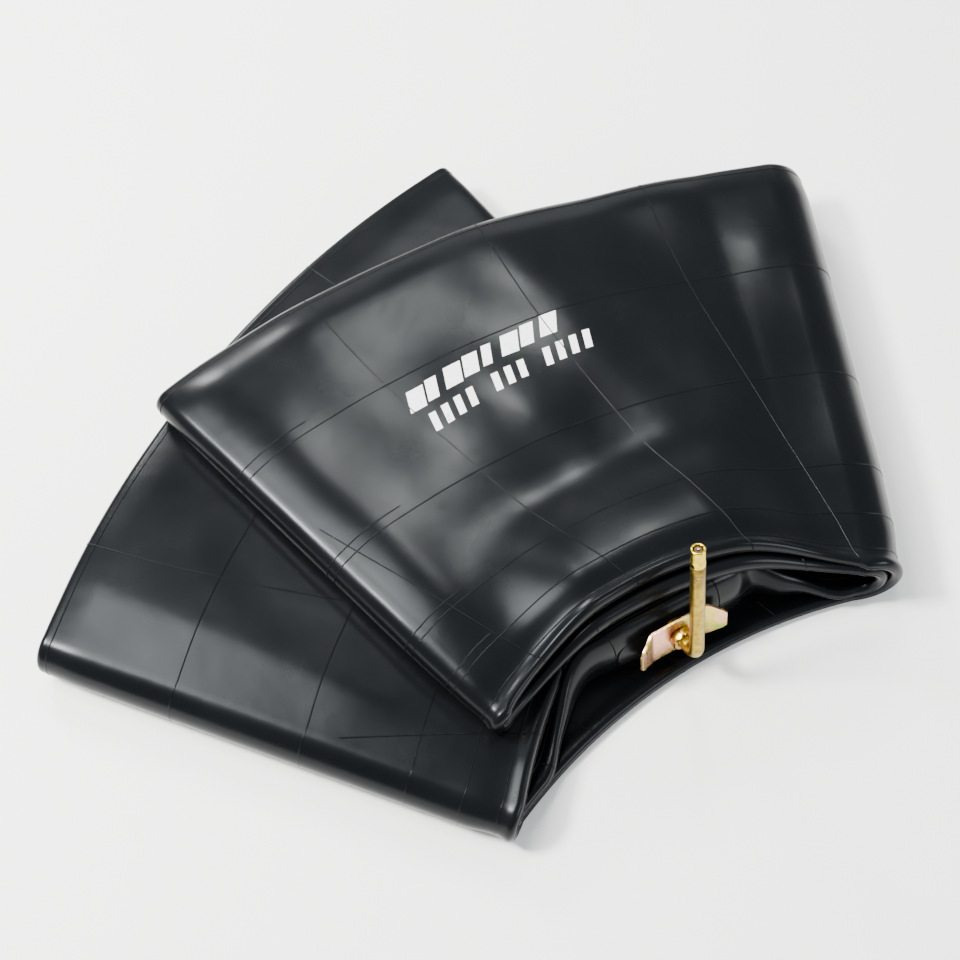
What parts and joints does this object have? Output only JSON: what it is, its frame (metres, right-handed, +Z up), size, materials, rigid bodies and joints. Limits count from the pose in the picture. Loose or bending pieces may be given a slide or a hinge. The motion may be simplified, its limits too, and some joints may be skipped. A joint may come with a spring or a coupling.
{
  "type": "inner tube",
  "caption": "Butyl rubber truck inner tube pressed flat and folded in a stack, with a bent brass valve stem, bridge washer, hexagon nut and valve core.",
  "frame": {"origin": "centre of the bounding box, on the ground under the folded stack", "axes": "+Z up from the ground, +X to the right along the longest extent, +Y away from the viewer who faces the valve"},
  "size_m": [0.4814, 0.4384, 0.1258],
  "materials": {
    "tube_rubber": "satin butyl rubber with raised mould lines",
    "patch_rubber": "matt vulcanised patch",
    "brass": "drawn, lightly tarnished",
    "bright_brass": "machined",
    "zinc_plate": "yellow passivated zinc on steel, iridescent",
    "steel": "bright wire",
    "seal": "fluoropolymer ring",
    "gasket": "moulded gasket"
  },
  "bodies": {
    "tube_and_stem": {"tube_lower_folds": "tube_rubber", "valve_base_patch": "patch_rubber", "base_insert": "brass", "valve_stem": "brass", "valve_mouth": "bright_brass"},
    "top_fold": {"tube_top_fold": "tube_rubber"},
    "bridge": {"bridge_washer": "zinc_plate"},
    "nut": {"hex_nut": "bright_brass"},
    "core": {"core_barrel": "brass", "barrel_seal": "seal", "core_spring": "steel"},
    "core_head": {"core_plug": "bright_brass"},
    "pin": {"core_pin": "steel", "pin_cup": "brass", "cup_gasket": "gasket"}
  },
  "joints": [
    {"name": "top_fold_open", "type": "hinge", "parent": "tube_and_stem", "child": "top_fold", "pos_m": [0.24186, -0.07251, 0.02475], "axis": [-0.1173, 0.9931, 0], "range_deg": [0, 160]},
    {"name": "washer_back_off", "type": "slide", "parent": "tube_and_stem", "child": "bridge", "axis": [0.4924, -0.8529, 0.1736], "range_m": [0, 0.00198]},
    {"name": "nut_turn", "type": "hinge", "parent": "bridge", "child": "nut", "pos_m": [0.11207, -0.10502, 0.0273], "axis": [0.4924, -0.8529, 0.1736], "range_deg": [0, 900]},
    {"name": "core_rise", "type": "slide", "parent": "tube_and_stem", "child": "core", "axis": [-0.0923, 0.1968, 0.9761], "range_m": [0, 0.00353]},
    {"name": "core_turn", "type": "hinge", "parent": "core", "child": "core_head", "pos_m": [0.1123, -0.10183, 0.12501], "axis": [-0.0923, 0.1968, 0.9761], "range_deg": [0, 1800]},
    {"name": "pin_press", "type": "slide", "parent": "core", "child": "pin", "axis": [0.0923, -0.1968, -0.9761], "range_m": [0, 0.0012], "stiffness_N_per_m": 1200, "springref_m": -0.0005, "deforming": ["core_spring"]}
  ],
  "couplings": [
    {"joint": "nut_turn", "follows": "washer_back_off", "rad_per_m": 7915.8},
    {"joint": "core_turn", "follows": "core_rise", "rad_per_m": 8905.3}
  ]
}
